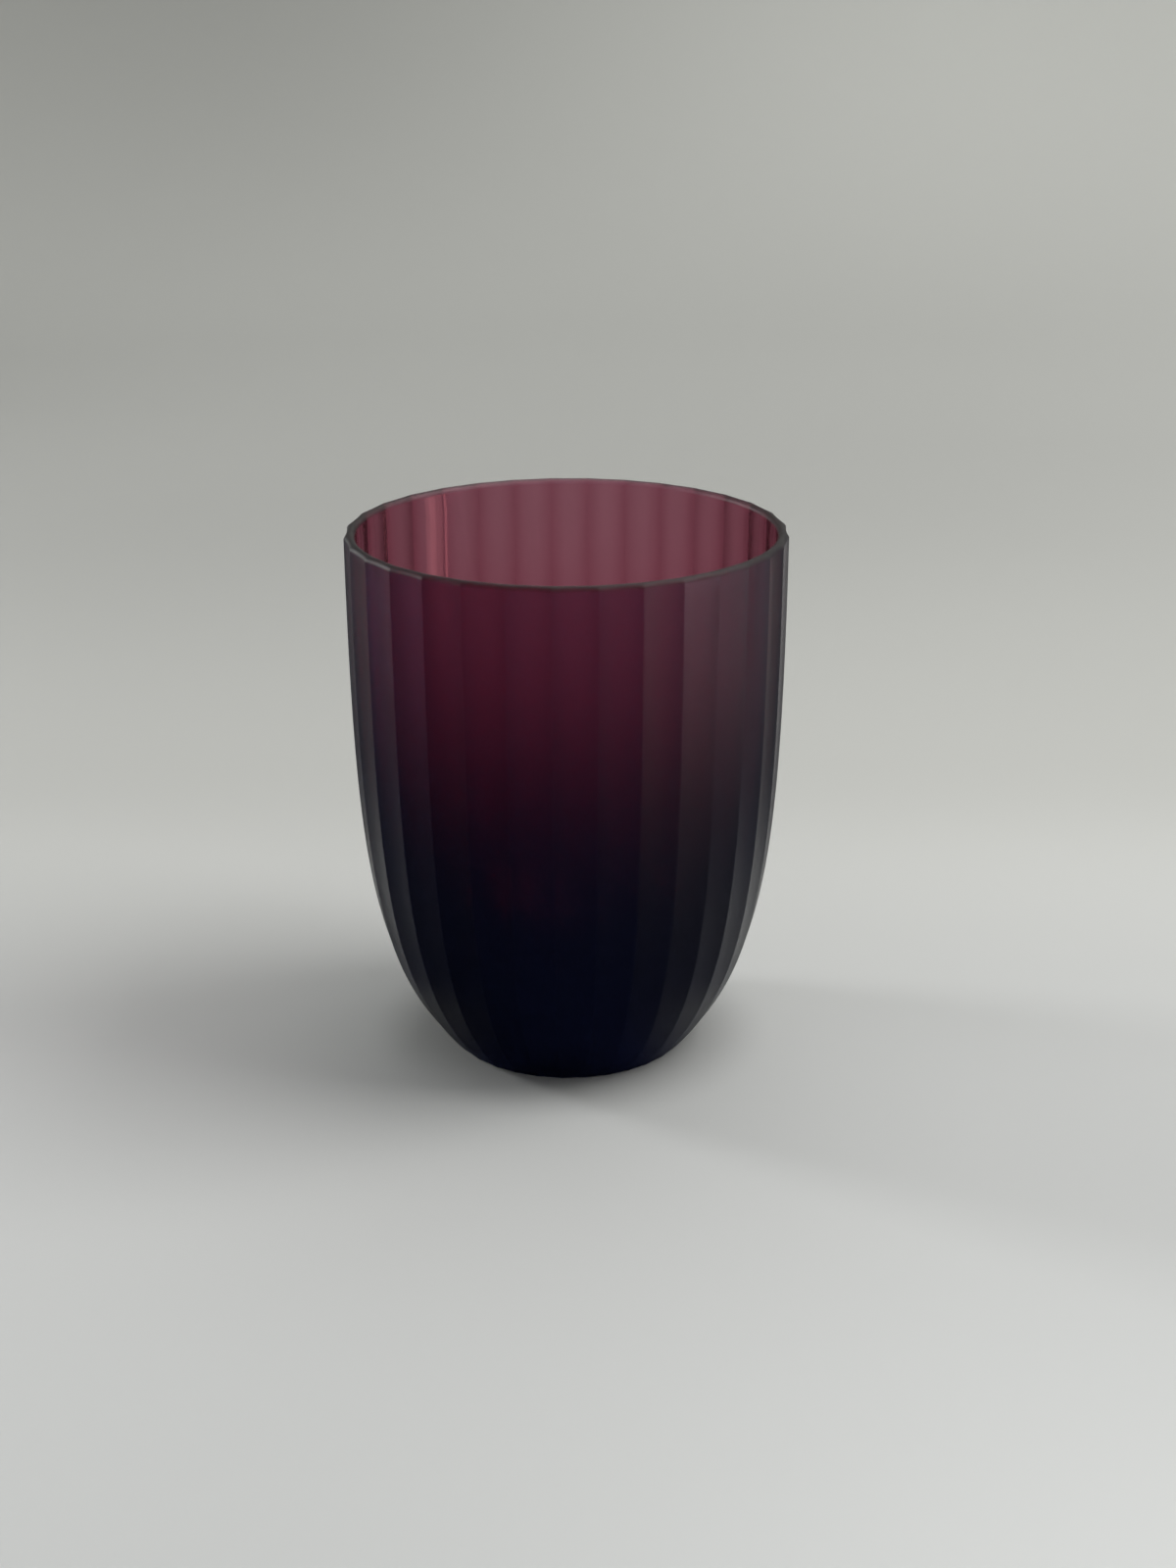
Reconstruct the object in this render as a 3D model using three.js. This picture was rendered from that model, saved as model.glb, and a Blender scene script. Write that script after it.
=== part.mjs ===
// Cut glass tumbler, in millimetres, +Z up.
// One piece of thick amethyst glass: a blown cup with a flat ground base and a rounded rim, whose outside
// is cut all round with upright hollow flutes that meet in sharp ridges.
// The origin is the middle of the base, and the front of the glass faces -Y.

import * as THREE from "three";
import { mergeVertices, toCreasedNormals } from "three/addons/utils/BufferGeometryUtils.js";

// Overall sizes
const HEIGHT = 99.3; // base to rim
const RIM_RADIUS = 40; // axis to a ridge at the rim
const BASE_RADIUS = 23.3; // axis to a ridge just above the heel

// Outside curve, from the heel to the rim: it leaves the base leaning out and comes upright at the rim
const FOOT_LEAN = 40.8; // degrees from upright at the base
const FOOT_PULL = 22.5; // how strongly that lean is carried up the wall
const RIM_PULL = 60; // how strongly the upright is carried down the wall

// Inside curve, from the rim down to a rounded bottom
const RIM_WALL = 2; // thickness of the wall at the rim, over a ridge, which the rim is rounded over
const BOTTOM_THICKNESS = 9; // glass under the middle of the cup
const INSIDE_RIM_PULL = 71; // how strongly the upright is carried down the inside
const INSIDE_FLOOR_PULL = 28; // how strongly the level bottom is carried out to the wall

// Ground edge
const HEEL = 0.6; // bevel round the base

// Flutes
const FLUTE_COUNT = 32;
const FLUTE_WHEEL_RADIUS = 40; // radius of the cut across a flute
const RIDGE_TURN = -5.2; // degrees from the front to the nearest ridge

// Facets
const FLUTE_STEPS = 4; // across one flute
const OUTSIDE_STEPS = 18; // up the outside
const RIM_STEPS = 6; // over the rim
const INSIDE_STEPS = 14; // down the inside
const SHARP_EDGE = 12; // degrees between two facets that meet in an edge and not in a curve

const MOUTH_RADIUS = RIM_RADIUS - RIM_WALL;
const RIM_ROUND = RIM_WALL / 2;
const WALL_TOP = HEIGHT - RIM_ROUND;

function outsideCurve() {
  const lean = THREE.MathUtils.degToRad(FOOT_LEAN);
  return new THREE.CubicBezierCurve(
    new THREE.Vector2(BASE_RADIUS, HEEL),
    new THREE.Vector2(BASE_RADIUS + FOOT_PULL * Math.sin(lean), HEEL + FOOT_PULL * Math.cos(lean)),
    new THREE.Vector2(RIM_RADIUS, WALL_TOP - RIM_PULL),
    new THREE.Vector2(RIM_RADIUS, WALL_TOP),
  );
}

function rimCurve() {
  return new THREE.EllipseCurve(MOUTH_RADIUS + RIM_ROUND, WALL_TOP, RIM_ROUND, RIM_ROUND, 0, Math.PI);
}

function insideCurve() {
  return new THREE.CubicBezierCurve(
    new THREE.Vector2(MOUTH_RADIUS, WALL_TOP),
    new THREE.Vector2(MOUTH_RADIUS, WALL_TOP - INSIDE_RIM_PULL),
    new THREE.Vector2(INSIDE_FLOOR_PULL, BOTTOM_THICKNESS),
    new THREE.Vector2(0, BOTTOM_THICKNESS),
  );
}

// The outline in order: out along the base, up the outside, over the rim and down the inside.
// A row that the flutes cut also has a ridge, the radius of the ridges on both sides of its flutes, and a
// cut, the share of their depth that it has: over the rim they run out towards the inner edge.
function outlineRows() {
  const outside = outsideCurve().getPoints(OUTSIDE_STEPS);
  const rim = rimCurve().getPoints(RIM_STEPS).slice(1, -1);
  const inside = insideCurve().getPoints(INSIDE_STEPS);
  return [
    { radius: 0, height: 0 },
    { radius: BASE_RADIUS - HEEL, height: 0, ridge: BASE_RADIUS, cut: 1 },
    ...outside.map((point) => ({ radius: point.x, height: point.y, ridge: point.x, cut: 1 })),
    ...rim.map((point) => ({
      radius: point.x,
      height: point.y,
      ridge: RIM_RADIUS,
      cut: (point.x - MOUTH_RADIUS) / RIM_WALL,
    })),
    ...inside.map((point) => ({ radius: point.x, height: point.y })),
  ];
}

// Depth of a flute below the ridge radius, at a share from 0 to 1 of the way from ridge to ridge.
// The cut is an arc of the wheel's radius, bowed inwards, through the ridges on both sides.
function fluteDepth(ridge, share) {
  const halfWidth = Math.PI / FLUTE_COUNT;
  const turn = (2 * share - 1) * halfWidth;
  const halfChord = ridge * Math.sin(halfWidth);
  const wheelCentre = ridge * Math.cos(halfWidth) + Math.sqrt(FLUTE_WHEEL_RADIUS ** 2 - halfChord ** 2);
  const reach = Math.sqrt(FLUTE_WHEEL_RADIUS ** 2 - (wheelCentre * Math.sin(turn)) ** 2);
  return ridge - (wheelCentre * Math.cos(turn) - reach);
}

function tumblerGeometry() {
  const rows = outlineRows();
  const outline = rows.map((row) => new THREE.Vector2(row.radius, row.height));
  const columns = FLUTE_COUNT * FLUTE_STEPS;
  const geometry = new THREE.LatheGeometry(outline, columns, THREE.MathUtils.degToRad(RIDGE_TURN));
  const position = geometry.attributes.position;

  // The lathe lists its points column by column, and every FLUTE_STEPS-th column is a ridge
  for (let index = 0; index < position.count; index++) {
    const row = rows[index % rows.length];
    if (row.ridge === undefined) continue;
    const column = Math.floor(index / rows.length);
    const share = (column % FLUTE_STEPS) / FLUTE_STEPS;
    const inward = 1 - (row.cut * fluteDepth(row.ridge, share)) / row.radius;
    position.setXYZ(index, position.getX(index) * inward, position.getY(index), position.getZ(index) * inward);
  }

  // The lathe turns about Y: stand it up on Z, and close its seam
  geometry.rotateX(Math.PI / 2);
  geometry.deleteAttribute("normal");
  geometry.deleteAttribute("uv");
  return toCreasedNormals(mergeVertices(geometry), THREE.MathUtils.degToRad(SHARP_EDGE));
}

const amethystGlass = new THREE.MeshStandardMaterial({
  color: 0x4a1e34,
  roughness: 0.45,
  metalness: 0,
  transparent: true,
  opacity: 0.9,
});

const tumbler = new THREE.Mesh(tumblerGeometry(), amethystGlass);
tumbler.name = "tumbler";

const object = new THREE.Group();
object.add(tumbler);

export default object;
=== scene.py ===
"""Cut glass tumbler: the fluted amethyst glass on a pale sweep, in metres, in the frame of its CAD model."""

import math

import bpy
from bpy.props import FloatProperty, FloatVectorProperty, IntProperty, PointerProperty
from mathutils import Matrix, Vector


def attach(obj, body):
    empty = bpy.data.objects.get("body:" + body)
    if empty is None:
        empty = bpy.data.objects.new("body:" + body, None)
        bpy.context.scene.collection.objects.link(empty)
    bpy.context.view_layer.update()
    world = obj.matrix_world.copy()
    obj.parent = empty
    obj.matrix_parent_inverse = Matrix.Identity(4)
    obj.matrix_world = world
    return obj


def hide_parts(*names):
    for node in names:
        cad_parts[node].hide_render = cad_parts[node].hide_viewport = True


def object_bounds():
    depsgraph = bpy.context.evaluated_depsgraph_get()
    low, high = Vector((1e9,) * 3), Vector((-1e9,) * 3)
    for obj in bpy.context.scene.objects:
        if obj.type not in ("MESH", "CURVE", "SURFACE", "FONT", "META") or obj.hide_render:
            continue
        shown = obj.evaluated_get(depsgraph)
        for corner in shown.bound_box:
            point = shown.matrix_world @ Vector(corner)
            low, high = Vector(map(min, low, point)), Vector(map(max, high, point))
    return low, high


bl_info = {
    "name": "Cut Glass Tumbler",
    "version": (1, 0, 0),
    "blender": (4, 5, 0),
    "location": "View3D > Sidebar > Tumbler",
    "description": "Builds a fluted tumbler of satin amethyst glass and the pale stage that it stands on",
    "category": "Object",
}

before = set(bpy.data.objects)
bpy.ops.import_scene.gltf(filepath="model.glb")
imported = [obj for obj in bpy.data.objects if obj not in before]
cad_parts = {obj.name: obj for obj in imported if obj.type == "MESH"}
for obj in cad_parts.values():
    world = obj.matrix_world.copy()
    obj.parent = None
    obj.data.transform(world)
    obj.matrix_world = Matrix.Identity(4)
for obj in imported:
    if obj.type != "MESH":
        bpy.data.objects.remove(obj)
CAD_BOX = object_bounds()

NODE = "tumbler"
BODY = "root"
MM = 0.001

# Sizes read from the CAD glass: its height, and its ridge radius at the rim
CAD_HEIGHT = CAD_BOX[1].z
CAD_RIM_RADIUS = max(vertex.co.xy.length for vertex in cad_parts[NODE].data.vertices)

# How finely the glass is meshed, and the angle from which one of its edges is sharp
FLUTE_STEPS = 14
OUTSIDE_STEPS = 96
RIM_STEPS = 16
INSIDE_STEPS = 72
SHARP_EDGE = math.radians(30)

# The grain of the ground glass: how many finer layers it has, and how strong they are
GRAIN_DETAIL = 2.0
GRAIN_RUGGEDNESS = 0.6

# How finely the sweep is meshed, and the paper's matt finish
CURVE_STEPS = 32
SWEEP_SIDES = 96
PAPER_ROUGHNESS = 0.9
PAPER_SHEEN = 0.1

# The floor lies this far under the base, so that the two faces don't coincide
FLOOR_GAP = 0.05 * MM

# From the paper's front colour to its darker back colour, a painted shade behind the glass, in metres behind
# the axis: a slow share, and a quick rest
SLOW_FADE = (-0.3, 0.1)
QUICK_FADE = (-0.04, 0.15)
SLOW_SHARE = 0.3

# Where painted light and shade make the paper lighter or darker, each from none to all of it: metres behind
# the axis
SIDE_START = (-0.15, 0.1)
SIDE_END = (0.55, 0.25)
BACKDROP_START = (0.8, 1.4)
FRONT_START = (-0.05, -0.2)
BACK_START = (-0.1, 0.3)
HALO_START = (0.0, 0.1)
# The same in metres to the right of the axis
LEFT_TO_RIGHT = (-0.3, 0.3)
RIGHT_START = (-0.05, 0.1)
THROUGH_START = (0.03, 0.2)
# The same in metres from the middle of the base
FRONT_REACH = (0.7, 0.35)
FAR_REACH = (0.2, 1.3)
HALO_REACH = (0.45, 0.1)
CONTACT_REACH = (0.04, 0.022)

# Where the painted reflection changes: heading from the glass, from 1 straight right, back or to the window,
# to -1
LEFT_HEADING = (-0.3, -0.9)
EDGE_RIGHT = (0.0, 0.3)
EDGE_BACK = (0.6, 0.95)
NEAR_BACK = (0.05, 0.65)
FAR_BACK = (0.0, 0.6)
BESIDE_BACK = (-0.5, 0.5)
FOOT_BACK = (-0.9, -0.1)
NEAR_WINDOW = (0.6, 1.0)
FAR_WINDOW = (0.74, 1.0)
# The same in metres from the middle of the base, and in height
CLOSE_BEHIND = (0.05, 0.17)
BESIDE_REACH = (0.12, 0.05)
FOOT_REACH = (0.047, 0.032)
NEAR_TO_FAR = (0.17, 0.36)
RAISED_HEIGHT = (0.02, 0.2)

# The lamps: where they stand, their width and height, and their colours. They face the middle of the glass
LAMP_AIM = (0.0, 0.0, 0.05)
WHITE = (1.0, 1.0, 1.0)
WINDOW_PLACE = (0.9, -0.02, 1.0)
WINDOW_SIZE = (0.8, 0.95)
WINDOW_COLOUR = (1.0, 0.99, 0.97)
BACK_LEFT_PLACE = (-0.5, 0.2, 0.2)
BACK_LEFT_SIZE = (0.1, 0.1)
RIGHT_PLACE = (0.75, -0.27, 0.06)
RIGHT_SIZE = (0.12, 0.2)
RIGHT_COLOUR = (1.0, 0.78, 1.0)
CEILING_PLACE = (0.15, 0.38, 0.92)
CEILING_SIZE = (0.8, 0.8)

# The glow in the cup: upright strips that face the axis, each with its turn from the right, width and share
GLOW_RADIUS = 34.5 * MM
GLOW_HEIGHT = 78 * MM
GLOW_LENGTH = 32 * MM
GLOW_COLOUR = (1.0, 0.3, 0.33)
GLOW_STRIPS = {
    "wide_glow": (math.radians(34), 11 * MM, 0.45),
    "middle_glow": (math.radians(36), 4 * MM, 0.35),
    "thin_glow": (math.radians(22), 1.5 * MM, 1.0),
}

# The camera's film: the picture is taller than wide, and its long side is the film's width
FILM_WIDTH = 36.0
PICTURE_HEIGHT = 1600
# The camera sees nothing nearer than this
NEAREST_SEEN = 0.01

# The Mix node's sockets for colours
MIX_SHARE = 0
MIX_FIRST = 6
MIX_SECOND = 7
MIX_RESULT = 2


class GlassForm(bpy.types.PropertyGroup):
    """Sizes of the glass"""

    height: FloatProperty(
        name="Height", description="Base to rim", default=CAD_HEIGHT, unit="LENGTH", precision=5)
    rim_radius: FloatProperty(
        name="Rim radius", description="Axis to a ridge at the rim",
        default=CAD_RIM_RADIUS, unit="LENGTH", precision=5)
    base_radius: FloatProperty(
        name="Base radius", description="Axis to a ridge just above the heel",
        default=23.3 * MM, unit="LENGTH", precision=5)
    foot_lean: FloatProperty(
        name="Foot lean", description="Lean of the wall from upright at the base",
        default=math.radians(40.8), subtype="ANGLE")
    foot_pull: FloatProperty(
        name="Foot pull", description="How strongly the lean is carried up the wall",
        default=22.5 * MM, unit="LENGTH", precision=5)
    rim_pull: FloatProperty(
        name="Rim pull", description="How strongly the upright is carried down the wall",
        default=60 * MM, unit="LENGTH", precision=5)
    rim_wall: FloatProperty(
        name="Rim wall", description="Thickness of the rounded rim, over a ridge",
        default=2 * MM, unit="LENGTH", precision=5)
    rim_grind: FloatProperty(
        name="Rim grind", description="How much coarser the rim is ground than the flutes", default=1.7)
    bottom_thickness: FloatProperty(
        name="Bottom thickness", description="Glass under the middle of the cup",
        default=9 * MM, unit="LENGTH", precision=5)
    inside_rim_pull: FloatProperty(
        name="Inside rim pull", description="How strongly the upright is carried down the inside",
        default=71 * MM, unit="LENGTH", precision=5)
    inside_floor_pull: FloatProperty(
        name="Inside floor pull", description="How strongly the level bottom is carried out to the wall",
        default=28 * MM, unit="LENGTH", precision=5)
    heel: FloatProperty(
        name="Heel", description="Bevel round the base", default=0.6 * MM, unit="LENGTH", precision=5)
    flute_count: IntProperty(name="Flutes", description="Flutes round the glass", default=32, min=3)
    wheel_radius: FloatProperty(
        name="Wheel radius", description="Radius of the cut across a flute",
        default=40 * MM, unit="LENGTH", precision=5)
    ridge_turn: FloatProperty(
        name="Ridge turn", description="From the front to the nearest ridge of evenly cut flutes",
        default=math.radians(-4.9), subtype="ANGLE")
    ridge_wear: FloatProperty(
        name="Ridge wear", description="Softening of the ridges by the satin grind",
        default=0.02 * MM, unit="LENGTH", precision=6)
    drift_once: FloatProperty(
        name="Drift once", description="Drift of the hand-cut ridges that comes once round the glass",
        default=math.radians(1.5), subtype="ANGLE")
    drift_once_turn: FloatProperty(
        name="Drift once turn", description="Where that drift is greatest",
        default=math.radians(-8), subtype="ANGLE")
    drift_twice: FloatProperty(
        name="Drift twice", description="Drift of the hand-cut ridges that comes twice round the glass",
        default=math.radians(1.1), subtype="ANGLE")
    drift_twice_turn: FloatProperty(
        name="Drift twice turn", description="Where that drift is greatest",
        default=math.radians(-30), subtype="ANGLE")
    drift_thrice: FloatProperty(
        name="Drift thrice",
        description="Drift of the hand-cut ridges that comes three times round the glass",
        default=math.radians(0.6), subtype="ANGLE")
    drift_thrice_turn: FloatProperty(
        name="Drift thrice turn", description="Where that drift is greatest",
        default=math.radians(35), subtype="ANGLE")


class GlassFinish(bpy.types.PropertyGroup):
    """Colour and finish of the glass"""

    passed_colour: FloatVectorProperty(
        name="Passed colour", description="Light that the glass lets through",
        default=(0.57, 0.065, 0.23), subtype="COLOR", min=0, max=1)
    density: FloatProperty(
        name="Density", description="How fast a metre of glass takes up the other light", default=1150)
    refraction: FloatProperty(name="Refraction", description="Refractive index of the glass", default=1.5)
    ground_roughness: FloatProperty(
        name="Ground roughness", description="Roughness of the satin outside and base", default=0.36)
    polished_roughness: FloatProperty(
        name="Polished roughness", description="Roughness of the polished inside", default=0.04)
    grain_size: FloatProperty(
        name="Grain size", description="Size of the grain left by grinding",
        default=0.5 * MM, unit="LENGTH", precision=6)
    grain_depth: FloatProperty(
        name="Grain depth", description="Depth of the grain left by grinding",
        default=0.01 * MM, unit="LENGTH", precision=6)
    grain_contrast: FloatProperty(
        name="Grain contrast", description="How much the roughness varies with the grain", default=0.12)


class StageLook(bpy.types.PropertyGroup):
    """Floor, light and camera"""

    # Front and back colour of the paper: the darker back colour is painted shade behind the glass
    front_colour: FloatVectorProperty(
        name="Front colour", description="Colour of the paper in front of the glass",
        default=(0.76, 0.775, 0.77), subtype="COLOR", min=0, max=1)
    back_colour: FloatVectorProperty(
        name="Back colour", description="Colour of the paper behind the glass",
        default=(0.48, 0.485, 0.465), subtype="COLOR", min=0, max=1)
    # Painted light: the paper lighter on the right, at the front right and far out
    side_gain: FloatProperty(
        name="Side gain", description="How much lighter the paper round the glass is on the right",
        default=0.3)
    front_gain: FloatProperty(
        name="Front gain", description="How much lighter the paper is at the front on the right",
        default=0.2)
    far_side_gain: FloatProperty(
        name="Far side gain", description="How much lighter the backdrop is on the right", default=0.45)
    far_gain: FloatProperty(
        name="Far gain", description="How much lighter the paper is far out", default=0.75)
    around_share: FloatProperty(
        name="Around share", description="Share of the far gain that the paper in front of the glass has",
        default=0.35)
    # Painted light: a lighter halo on the paper close behind the glass
    painted_halo: FloatProperty(
        name="Halo", description="How much lighter the paper is close behind the glass", default=0.23)
    # Painted shadow: the paper darker close round the base
    painted_contact_shadow: FloatProperty(
        name="Contact", description="How much darker the paper is close round the base", default=0.34)
    # The painted reflection takes in the paper beside and at the foot of the glass; less on the left, a
    # painted shade
    beside_share: FloatProperty(
        name="Beside share", description="How far the glass mirrors the paper beside its base", default=0.8)
    left_drop: FloatProperty(
        name="Left drop", description="How much less it does so on the left, in its own shadow", default=0.4)
    foot_share: FloatProperty(
        name="Foot share", description="How far the foot of the glass mirrors the paper next to it",
        default=0.7)
    # Colours of the painted reflection, which the floor shows in its place to rays that the glass mirrors:
    # dark low down, lighter higher up and at the edges
    near_front: FloatVectorProperty(
        name="Near front", description="Dark room that the glass mirrors low down, in place of the floor",
        default=(0.04, 0.056, 0.2), subtype="COLOR", min=0, max=1)
    near_left: FloatVectorProperty(
        name="Near left", description="What the glass mirrors low down on its left",
        default=(0.034, 0.046, 0.14), subtype="COLOR", min=0, max=1)
    near_right: FloatVectorProperty(
        name="Near right", description="What the glass mirrors low down on its right",
        default=(0.09, 0.1, 0.18), subtype="COLOR", min=0, max=1)
    far_front: FloatVectorProperty(
        name="Far front", description="What the glass mirrors in front, higher up",
        default=(0.34, 0.36, 0.78), subtype="COLOR", min=0, max=1)
    far_left: FloatVectorProperty(
        name="Far left", description="What the glass mirrors on its left, higher up",
        default=(0.16, 0.19, 0.48), subtype="COLOR", min=0, max=1)
    far_right: FloatVectorProperty(
        name="Far right", description="What the glass mirrors on its right, higher up",
        default=(0.8, 0.8, 0.95), subtype="COLOR", min=0, max=1)
    far_back: FloatVectorProperty(
        name="Far back", description="What the glass mirrors at its edges, where it isn't the paper close by",
        default=(0.12, 0.12, 0.14), subtype="COLOR", min=0, max=1)
    right_edge: FloatVectorProperty(
        name="Right edge", description="What the glass mirrors at its right edge in place of the far back",
        default=(0.58, 0.58, 0.59), subtype="COLOR", min=0, max=1)
    # The brightest part of the painted reflection, a painted highlight of the window light on the right
    window_turn: FloatProperty(
        name="Window turn",
        description="Turn from straight right towards the back to the lightest part of the mirrored room",
        default=math.radians(-12), subtype="ANGLE")
    # Painted shade: the paper seen through the right of the glass is darker
    painted_through_shade: FloatProperty(
        name="Through shade", description="How much darker the paper is through the right of the glass",
        default=0.4)
    floor_radius: FloatProperty(
        name="Floor radius", description="Radius of the flat floor", default=0.8, unit="LENGTH")
    sweep_radius: FloatProperty(
        name="Sweep radius", description="Radius of the curve from floor to backdrop",
        default=1.0, unit="LENGTH")
    sweep_height: FloatProperty(
        name="Sweep height", description="Height of the backdrop", default=1.6, unit="LENGTH")
    window_power: FloatProperty(
        name="Window power", description="Soft light from the right", default=10.1, unit="POWER")
    lamp_power: FloatProperty(
        name="Lamp power", description="Small light from the back left", default=1.12, unit="POWER")
    right_power: FloatProperty(
        name="Right power", description="Small low light from the front right", default=0.043, unit="POWER")
    right_spread: FloatProperty(
        name="Right spread", description="Full angle of the beam of that light",
        default=math.radians(44), subtype="ANGLE")
    glow: FloatProperty(
        name="Glow", description="Brightness of the right of the cup that the polished inside mirrors",
        default=2.6)
    ceiling_power: FloatProperty(
        name="Ceiling power", description="Soft light from above", default=2.15, unit="POWER")
    room_light: FloatProperty(
        name="Room light", description="Strength of the light from all round", default=0.13)
    camera_place: FloatVectorProperty(
        name="Camera place", description="Where the camera stands",
        default=(3.8 * MM, -397.5 * MM, 200.2 * MM), subtype="TRANSLATION", unit="LENGTH", precision=5)
    camera_pitch: FloatProperty(
        name="Camera pitch", description="How far the camera looks down",
        default=math.radians(20.71), subtype="ANGLE")
    camera_roll: FloatProperty(
        name="Camera roll", description="How far the camera leans to the right",
        default=math.radians(0.1), subtype="ANGLE")
    focal_pixels: FloatProperty(
        name="Focal length", description="Focal length in pixels of the full picture",
        default=2310)


class Wire:
    """A socket's output, on which plain arithmetic adds Math nodes."""

    def __init__(self, shader, socket):
        self.shader = shader
        self.socket = socket

    def __add__(self, other):
        return self.shader.math("ADD", self, other)

    def __radd__(self, other):
        return self.shader.math("ADD", other, self)

    def __sub__(self, other):
        return self.shader.math("SUBTRACT", self, other)

    def __rsub__(self, other):
        return self.shader.math("SUBTRACT", other, self)

    def __mul__(self, other):
        return self.shader.math("MULTIPLY", self, other)

    def __rmul__(self, other):
        return self.shader.math("MULTIPLY", other, self)


class Shader:
    """A node tree that is written as expressions."""

    def __init__(self, tree):
        self.tree = tree
        tree.nodes.clear()

    def node(self, kind, settings=None, sockets=None, output=0):
        """Adds a node, sets it up, fills its sockets with values or wires, and gives one output as a wire."""
        node = self.tree.nodes.new(kind)
        for name, value in (settings or {}).items():
            setattr(node, name, value)
        for name, value in (sockets or {}).items():
            if isinstance(value, Wire):
                self.tree.links.new(value.socket, node.inputs[name])
            else:
                node.inputs[name].default_value = value
        return Wire(self, node.outputs[output]) if len(node.outputs) else None

    def math(self, operation, first, second):
        """One Math node on values or wires."""
        return self.node("ShaderNodeMath", {"operation": operation}, {0: first, 1: second})

    def part(self, vector, axis):
        """One part of a vector."""
        return self.node("ShaderNodeSeparateXYZ", {}, {"Vector": vector}, output=axis)

    def scale(self, colour, factor):
        """A colour made lighter or darker."""
        return self.node("ShaderNodeVectorMath", {"operation": "SCALE"}, {0: colour, "Scale": factor})

    def smooth_step(self, value, start, end):
        """0 before start, 1 after end, and smooth between them."""
        return self.node(
            "ShaderNodeMapRange", {"interpolation_type": "SMOOTHSTEP"},
            {"Value": value, "From Min": start, "From Max": end})

    def mix(self, share, first, second):
        """From the first colour to the second."""
        return self.node(
            "ShaderNodeMix", {"data_type": "RGBA"},
            {MIX_SHARE: share, MIX_FIRST: first, MIX_SECOND: second}, output=MIX_RESULT)


def new_material(name):
    """An empty material and its shader."""
    material = bpy.data.materials.new(name)
    material.use_nodes = True
    return material, Shader(material.node_tree)


def opaque(colour):
    """A colour with full alpha."""
    return (*colour, 1.0)


def bezier_points(start, start_pull, end_pull, end, steps):
    """Points along a cubic Bezier curve of radius and height."""
    corners = (start, start_pull, end_pull, end)
    points = []
    for step in range(steps + 1):
        share = step / steps
        rest = 1 - share
        weights = (rest ** 3, 3 * rest ** 2 * share, 3 * rest * share ** 2, share ** 3)
        points.append(tuple(
            sum(weight * corner[axis] for weight, corner in zip(weights, corners)) for axis in (0, 1)))
    return points


def outline_rows(form):
    """Rows of the outline: radius, height, ridge radius, share of the flutes' depth, coarseness of grind."""
    mouth_radius = form.rim_radius - form.rim_wall
    rim_round = form.rim_wall / 2
    wall_top = form.height - rim_round
    outside = bezier_points(
        (form.base_radius, form.heel),
        (form.base_radius + form.foot_pull * math.sin(form.foot_lean),
         form.heel + form.foot_pull * math.cos(form.foot_lean)),
        (form.rim_radius, wall_top - form.rim_pull),
        (form.rim_radius, wall_top),
        OUTSIDE_STEPS)
    inside = bezier_points(
        (mouth_radius, wall_top),
        (mouth_radius, wall_top - form.inside_rim_pull),
        (form.inside_floor_pull, form.bottom_thickness),
        (0.0, form.bottom_thickness),
        INSIDE_STEPS)
    rows = [(radius, 0.0, form.base_radius, 1.0, 1.0) for radius in (0.0, form.base_radius - form.heel)]
    rows += [(radius, height, radius, 1.0, 1.0) for radius, height in outside]
    for step in range(1, RIM_STEPS):
        turn = math.pi * step / RIM_STEPS
        outward = (1 + math.cos(turn)) / 2
        radius = mouth_radius + form.rim_wall * outward
        height = wall_top + rim_round * math.sin(turn)
        rows.append((radius, height, form.rim_radius, outward, form.rim_grind))
    rows += [(radius, height, form.rim_radius, 0.0, 0.0) for radius, height in inside]
    return rows


def ridge_angles(form):
    """Angles of the hand-cut ridges from the front, with the first one again at the end."""
    step = 2 * math.pi / form.flute_count
    angles = []
    for index in range(form.flute_count):
        even = form.ridge_turn + index * step
        drift = form.drift_once * math.cos(index * step - form.drift_once_turn)
        drift += form.drift_twice * math.cos(2 * (index * step - form.drift_twice_turn))
        drift += form.drift_thrice * math.cos(3 * (index * step - form.drift_thrice_turn))
        angles.append(even + drift)
    return angles + [angles[0] + 2 * math.pi]


def flute_depth(form, ridge, half_width, share):
    """Depth of a flute below its ridges, at a share of the way from ridge to ridge."""
    turn = (2 * share - 1) * half_width
    half_chord = ridge * math.sin(half_width)
    wheel_centre = ridge * math.cos(half_width) + math.sqrt(form.wheel_radius ** 2 - half_chord ** 2)
    reach = math.sqrt(form.wheel_radius ** 2 - (wheel_centre * math.sin(turn)) ** 2)
    sharp = max(ridge - (wheel_centre * math.cos(turn) - reach), 0.0)
    return math.hypot(sharp, form.ridge_wear) - form.ridge_wear


def flute_columns(form):
    """Columns round the glass: angle, half width of the flute, and share of the way across it."""
    angles = ridge_angles(form)
    shares = [(1 - math.cos(math.pi * step / FLUTE_STEPS)) / 2 for step in range(FLUTE_STEPS)]
    columns = []
    for left, right in zip(angles, angles[1:]):
        for share in shares:
            columns.append((left + share * (right - left), (right - left) / 2, share))
    return columns


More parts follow.
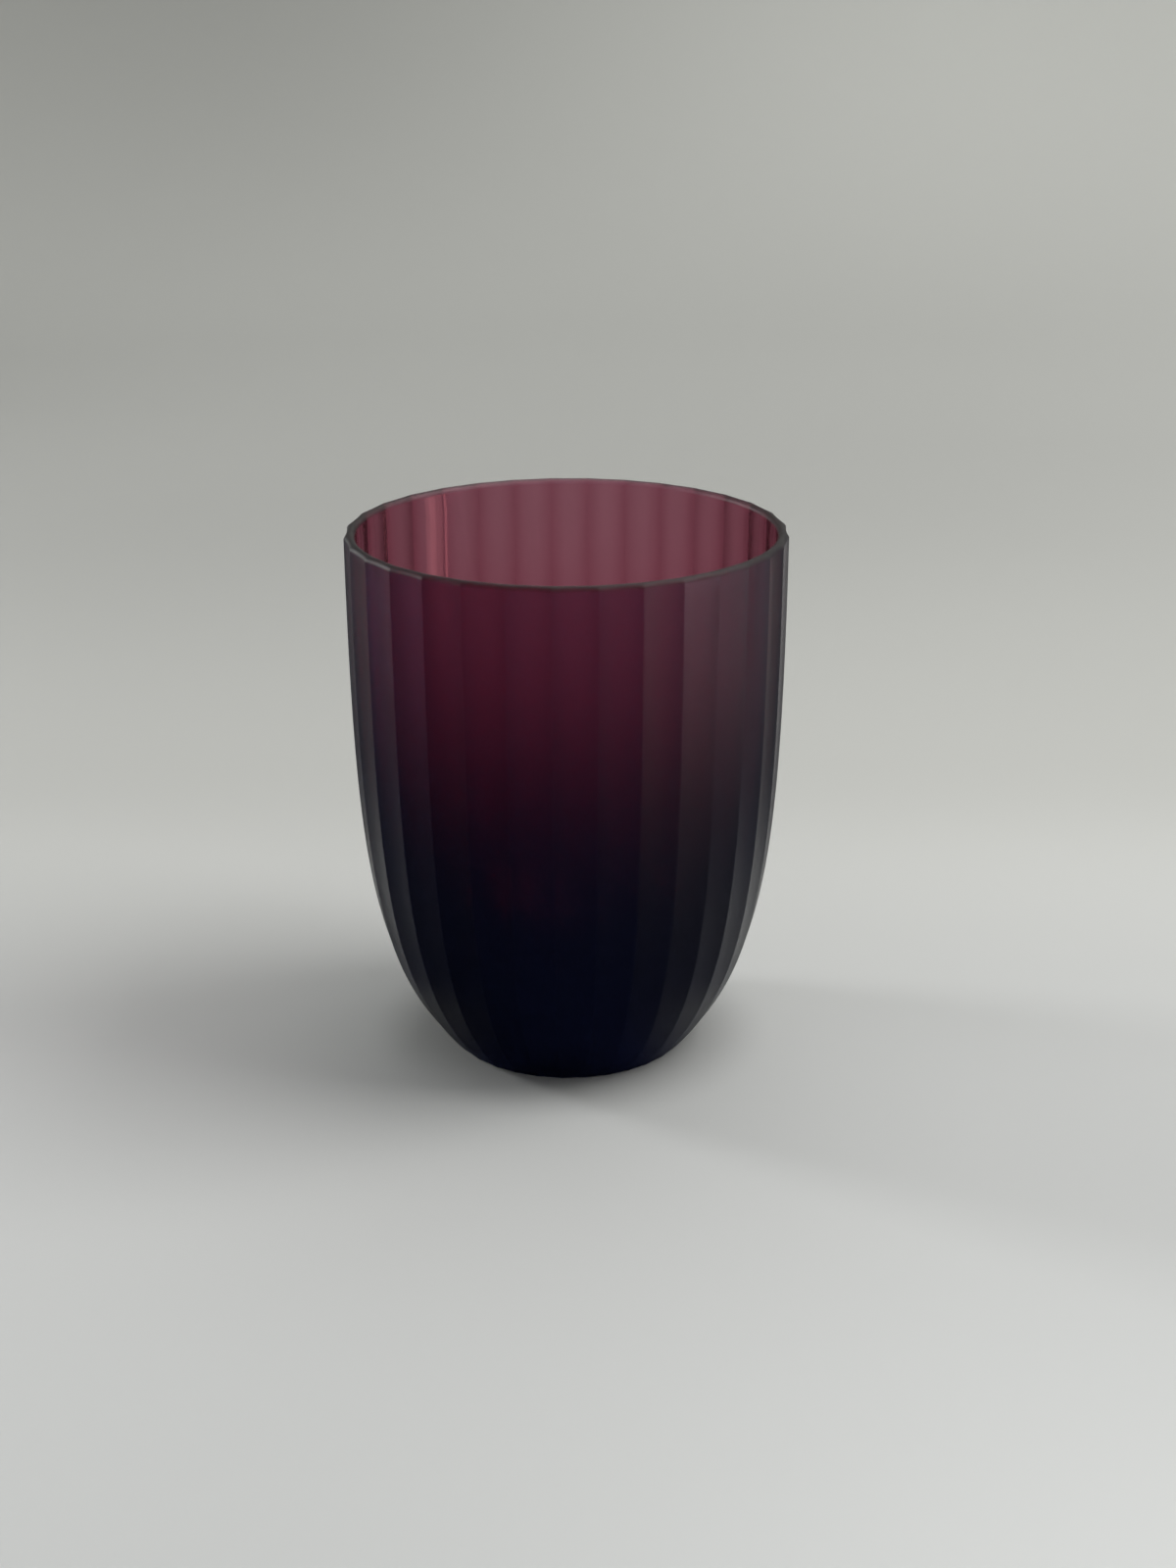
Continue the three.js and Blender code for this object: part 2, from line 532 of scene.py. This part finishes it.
def glass_mesh(form):
    """One closed mesh of glass, with an attribute for the grind: 0 polished, 1 satin, more on the rim."""
    rows = outline_rows(form)
    columns = flute_columns(form)
    vertices = []
    ground = []
    for radius, height, ridge, cut, satin in rows:
        around = columns if radius > 0 else columns[:1]
        for angle, half_width, share in around:
            reach = max(radius - cut * flute_depth(form, ridge, half_width, share), 0.0)
            vertices.append((reach * math.sin(angle), -reach * math.cos(angle), height))
            ground.append(satin)

    # The first and the last row are single points on the axis, and the rings lie between them
    count = len(columns)
    last_ring = len(rows) - 3
    last_point = len(vertices) - 1
    faces = []
    for column in range(count):
        after = (column + 1) % count
        faces.append((0, 1 + after, 1 + column))
        for ring in range(last_ring):
            low = 1 + ring * count
            high = low + count
            faces.append((low + column, low + after, high + after, high + column))
        top = 1 + last_ring * count
        faces.append((top + column, top + after, last_point))

    mesh = bpy.data.meshes.new("tumbler_glass")
    mesh.from_pydata(vertices, [], faces)
    mesh.attributes.new("ground", "FLOAT", "POINT").data.foreach_set("value", ground)
    mesh.shade_smooth()
    mesh.set_sharp_from_angle(angle=SHARP_EDGE)
    mesh.validate()
    return mesh


def glass_material(finish):
    """Amethyst glass that absorbs through its thickness, satin where ground and clear where polished."""
    material, shader = new_material("amethyst_glass")
    ground = shader.node("ShaderNodeAttribute", {"attribute_name": "ground"}, output="Fac")
    place = shader.node("ShaderNodeTexCoord", output="Object")
    grain = shader.node(
        "ShaderNodeTexNoise", {},
        {"Vector": place, "Scale": 1 / finish.grain_size, "Detail": GRAIN_DETAIL,
         "Roughness": GRAIN_RUGGEDNESS})
    satin = finish.ground_roughness + (grain - 0.5) * finish.grain_contrast
    roughness = ground * satin + (1 - ground) * finish.polished_roughness
    normal = shader.node(
        "ShaderNodeBump", {},
        {"Strength": 1.0, "Distance": finish.grain_depth, "Height": grain * ground})
    surface = shader.node(
        "ShaderNodeBsdfPrincipled", {},
        {"Base Color": opaque(WHITE), "Roughness": roughness, "IOR": finish.refraction,
         "Transmission Weight": 1.0, "Normal": normal})
    absorption = shader.node(
        "ShaderNodeVolumeAbsorption", {},
        {"Color": opaque(finish.passed_colour), "Density": finish.density})
    shader.node("ShaderNodeOutputMaterial", {}, {"Surface": surface, "Volume": absorption})
    return material


def paper_with_painted_light(shader, look, place, distance):
    """Pale paper with painted light and shade: painted shade behind the glass, a painted shadow close round
    its base, and painted light on the right, far out and close behind the glass.
    """
    across = shader.part(place, "X")
    behind = shader.part(place, "Y")
    # Painted shade: the paper darkens from its front colour to its back colour
    darker = SLOW_SHARE * shader.smooth_step(behind, *SLOW_FADE)
    darker = darker + (1 - SLOW_SHARE) * shader.smooth_step(behind, *QUICK_FADE)
    paper = shader.mix(darker, opaque(look.front_colour), opaque(look.back_colour))
    # Painted light: the paper lighter on the right, and more so on the backdrop
    gain = shader.smooth_step(behind, *SIDE_START) * shader.smooth_step(behind, *SIDE_END) * look.side_gain
    gain = gain + shader.smooth_step(behind, *BACKDROP_START) * look.far_side_gain
    light = 1 + (shader.smooth_step(across, *LEFT_TO_RIGHT) - 0.5) * gain
    # Painted light at the front right of the glass
    front_right = shader.smooth_step(behind, *FRONT_START) * shader.smooth_step(across, *RIGHT_START)
    light = light + front_right * shader.smooth_step(distance, *FRONT_REACH) * look.front_gain
    # Painted light far out, with a share of it in front of the glass
    around = look.around_share + (1 - look.around_share) * shader.smooth_step(behind, *BACK_START)
    light = light * (1 + shader.smooth_step(distance, *FAR_REACH) * around * look.far_gain)
    # Painted light: a halo on the paper close behind the glass
    painted_halo = shader.smooth_step(behind, *HALO_START) * shader.smooth_step(distance, *HALO_REACH)
    light = light * (1 + painted_halo * look.painted_halo)
    # Painted contact shadow close round the base
    light = light * (1 - shader.smooth_step(distance, *CONTACT_REACH) * look.painted_contact_shadow)
    return shader.scale(paper, light)


def painted_reflection(shader, look, heading, distance, paper):
    """The painted reflection that the glass shows in place of the floor: dark colours in front and low down,
    and the paper close beside and behind it.
    """
    to_right = shader.part(heading, "X")
    to_back = shader.part(heading, "Y")
    to_window = shader.node(
        "ShaderNodeVectorMath", {"operation": "DOT_PRODUCT"},
        {0: heading, 1: (math.cos(look.window_turn), math.sin(look.window_turn), 0.0)}, output="Value")
    left = shader.smooth_step(to_right, *LEFT_HEADING)

    # Painted reflection: dark at the back edges, light at the right edge, and the paper close behind
    edge = shader.smooth_step(to_back, *EDGE_BACK) * shader.smooth_step(to_right, *EDGE_RIGHT)
    back_painted_reflection = shader.mix(edge, opaque(look.far_back), opaque(look.right_edge))
    back_painted_reflection = shader.mix(shader.smooth_step(distance, *CLOSE_BEHIND), paper, back_painted_reflection)

    near_painted_reflection = shader.mix(left, opaque(look.near_front), opaque(look.near_left))
    near_painted_reflection = shader.mix(shader.smooth_step(to_window, *NEAR_WINDOW), near_painted_reflection, opaque(look.near_right))
    near_painted_reflection = shader.mix(shader.smooth_step(to_back, *NEAR_BACK), near_painted_reflection, back_painted_reflection)
    # Painted reflection of the paper beside the base and at the foot, less on the left, a painted shade
    beside = shader.smooth_step(to_back, *BESIDE_BACK) * shader.smooth_step(distance, *BESIDE_REACH)
    beside = beside * (look.beside_share - left * look.left_drop)
    near_painted_reflection = shader.mix(beside, near_painted_reflection, paper)
    foot = shader.smooth_step(to_back, *FOOT_BACK) * shader.smooth_step(distance, *FOOT_REACH)
    near_painted_reflection = shader.mix(foot * look.foot_share, near_painted_reflection, paper)

    far_painted_reflection = shader.mix(left, opaque(look.far_front), opaque(look.far_left))
    far_painted_reflection = shader.mix(shader.smooth_step(to_back, *FAR_BACK), far_painted_reflection, back_painted_reflection)
    far_painted_reflection = shader.mix(shader.smooth_step(to_window, *FAR_WINDOW), far_painted_reflection, opaque(look.far_right))
    return shader.mix(shader.smooth_step(distance, *NEAR_TO_FAR), near_painted_reflection, far_painted_reflection)


def floor_material(look):
    """Matt paper with painted light and shade, in whose place the glass mirrors a painted reflection, except
    in the raised backdrop behind it; seen through the right of the glass, the paper has a painted shade.
    """
    material, shader = new_material("pale_sweep")
    place = shader.node("ShaderNodeTexCoord", output="Object")
    heading = shader.node("ShaderNodeVectorMath", {"operation": "NORMALIZE"}, {0: place})
    distance = shader.node("ShaderNodeVectorMath", {"operation": "LENGTH"}, {0: place}, output="Value")
    paper = paper_with_painted_light(shader, look, place, distance)
    # The painted reflection that rays mirrored by the glass see in place of the paper
    room = painted_reflection(shader, look, heading, distance, paper)

    # Painted shade: rays through the glass see the paper darker on its right
    through = shader.node("ShaderNodeLightPath", output="Is Transmission Ray")
    shaded = through * shader.smooth_step(shader.part(place, "X"), *THROUGH_START)
    seen = shader.scale(paper, 1 - shaded * look.painted_through_shade)
    # Painted reflection: glossy reflected rays see it in place of the paper, except on the raised backdrop
    # behind the glass
    glossy = shader.node("ShaderNodeLightPath", output="Is Glossy Ray")
    reflected = shader.node("ShaderNodeLightPath", output="Is Reflection Ray")
    raised = shader.smooth_step(shader.part(heading, "Y"), *FAR_BACK)
    raised = raised * shader.smooth_step(shader.part(place, "Z"), *RAISED_HEIGHT)
    colour = shader.mix(glossy * reflected * (1 - raised), seen, room)
    surface = shader.node(
        "ShaderNodeBsdfPrincipled", {},
        {"Base Color": colour, "Roughness": PAPER_ROUGHNESS, "Specular IOR Level": PAPER_SHEEN})
    shader.node("ShaderNodeOutputMaterial", {}, {"Surface": surface})
    return material


def add_object(name, data):
    """A new object in the scene."""
    item = bpy.data.objects.new(name, data)
    bpy.context.scene.collection.objects.link(item)
    return item


def sweep_mesh(look):
    """Round floor that curves up all round into a backdrop."""
    outline = [(look.floor_radius, 0.0)]
    for step in range(1, CURVE_STEPS + 1):
        angle = math.pi / 2 * step / CURVE_STEPS
        outline.append((look.floor_radius + look.sweep_radius * math.sin(angle),
                        look.sweep_radius * (1 - math.cos(angle))))
    outline.append((look.floor_radius + look.sweep_radius, look.sweep_height))
    vertices = []
    for radius, height in outline:
        for side in range(SWEEP_SIDES):
            angle = 2 * math.pi * side / SWEEP_SIDES
            vertices.append((radius * math.cos(angle), radius * math.sin(angle), height))
    faces = [tuple(range(SWEEP_SIDES))]
    for row in range(len(outline) - 1):
        for side in range(SWEEP_SIDES):
            after = (side + 1) % SWEEP_SIDES
            low = row * SWEEP_SIDES
            high = low + SWEEP_SIDES
            faces.append((low + side, high + side, high + after, low + after))
    mesh = bpy.data.meshes.new("pale_sweep")
    mesh.from_pydata(vertices, [], faces)
    mesh.shade_smooth()
    return mesh


def add_light(name, place, target, size, power, colour):
    """A soft rectangular light that faces a point."""
    light = bpy.data.lights.new(name, "AREA")
    light.shape = "RECTANGLE"
    light.size = size[0]
    light.size_y = size[1]
    light.energy = power
    light.color = colour
    item = add_object(name, light)
    item.location = place
    item.rotation_euler = (Vector(target) - Vector(place)).to_track_quat("-Z", "Y").to_euler()
    return item


def add_side_lamps(look):
    """The window on the right, and the two small lamps."""
    add_light("window_light", WINDOW_PLACE, LAMP_AIM, WINDOW_SIZE, look.window_power, WINDOW_COLOUR)
    add_light("back_left_lamp", BACK_LEFT_PLACE, LAMP_AIM, BACK_LEFT_SIZE, look.lamp_power, WHITE)
    right_lamp = add_light("right_lamp", RIGHT_PLACE, LAMP_AIM, RIGHT_SIZE, look.right_power, RIGHT_COLOUR)
    right_lamp.data.spread = look.right_spread


def add_glow(look):
    """Strips of light in the cup that only mirrored rays meet, so that the polished inside shows a streak."""
    for name, (turn, width, share) in GLOW_STRIPS.items():
        place = (GLOW_RADIUS * math.cos(turn), GLOW_RADIUS * math.sin(turn), GLOW_HEIGHT)
        power = share * look.glow * math.pi * width * GLOW_LENGTH
        strip = add_light(name, place, (0.0, 0.0, GLOW_HEIGHT), (width, GLOW_LENGTH), power, GLOW_COLOUR)
        strip.visible_camera = False
        strip.visible_diffuse = False
        strip.visible_transmission = False


def add_ceiling(look):
    """The soft light from above."""
    add_light("ceiling_light", CEILING_PLACE, LAMP_AIM, CEILING_SIZE, look.ceiling_power, WHITE)


def set_world(look):
    """Plain soft light from all round."""
    world = bpy.data.worlds.new("studio")
    world.use_nodes = True
    shader = Shader(world.node_tree)
    light = shader.node(
        "ShaderNodeBackground", {}, {"Color": opaque(WHITE), "Strength": look.room_light})
    shader.node("ShaderNodeOutputWorld", {}, {"Surface": light})
    bpy.context.scene.world = world


def add_camera(look):
    """The camera at the photograph's angle."""
    data = bpy.data.cameras.new("camera")
    data.sensor_width = FILM_WIDTH
    data.lens = look.focal_pixels / PICTURE_HEIGHT * FILM_WIDTH
    data.clip_start = NEAREST_SEEN
    camera = add_object("camera", data)
    camera.location = look.camera_place
    pitch = Matrix.Rotation(math.pi / 2 - look.camera_pitch, 3, "X")
    roll = Matrix.Rotation(-look.camera_roll, 3, "Z")
    camera.rotation_euler = (pitch @ roll).to_euler()
    bpy.context.scene.camera = camera


class TUMBLER_OT_glass(bpy.types.Operator):
    """Build the fluted glass"""

    bl_idname = "tumbler.glass"
    bl_label = "Glass"

    def execute(self, context):
        glass = add_object("tumbler_glass", glass_mesh(context.scene.glass_form))
        glass.data.materials.append(glass_material(context.scene.glass_finish))
        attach(glass, BODY)
        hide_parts(NODE)
        return {"FINISHED"}


class TUMBLER_OT_stage(bpy.types.Operator):
    """Set up the floor, light and camera"""

    bl_idname = "tumbler.stage"
    bl_label = "Stage"

    def execute(self, context):
        look = context.scene.stage_look
        sweep = add_object("pale_sweep", sweep_mesh(look))
        sweep.data.materials.append(floor_material(look))
        sweep.location.z = -FLOOR_GAP
        add_side_lamps(look)
        add_glow(look)
        add_ceiling(look)
        set_world(look)
        add_camera(look)
        context.scene.view_settings.view_transform = "Standard"
        return {"FINISHED"}


class TUMBLER_PT_panel(bpy.types.Panel):
    """Sizes, finish and stage of the tumbler"""

    bl_idname = "TUMBLER_PT_panel"
    bl_label = "Cut Glass Tumbler"
    bl_space_type = "VIEW_3D"
    bl_region_type = "UI"
    bl_category = "Tumbler"

    def draw(self, context):
        for operator, group in (
                (TUMBLER_OT_glass, context.scene.glass_form),
                (TUMBLER_OT_glass, context.scene.glass_finish),
                (TUMBLER_OT_stage, context.scene.stage_look)):
            box = self.layout.box()
            for name in group.__annotations__:
                box.prop(group, name)
            box.operator(operator.bl_idname)


CLASSES = (GlassForm, GlassFinish, StageLook, TUMBLER_OT_glass, TUMBLER_OT_stage, TUMBLER_PT_panel)
GROUPS = {"glass_form": GlassForm, "glass_finish": GlassFinish, "stage_look": StageLook}


def register():
    for item in CLASSES:
        bpy.utils.register_class(item)
    for name, group in GROUPS.items():
        setattr(bpy.types.Scene, name, PointerProperty(type=group))


def unregister():
    for name in GROUPS:
        delattr(bpy.types.Scene, name)
    for item in reversed(CLASSES):
        bpy.utils.unregister_class(item)


def main():
    register()
    bpy.ops.tumbler.stage()
    bpy.ops.tumbler.glass()


if __name__ == "__main__":
    main()
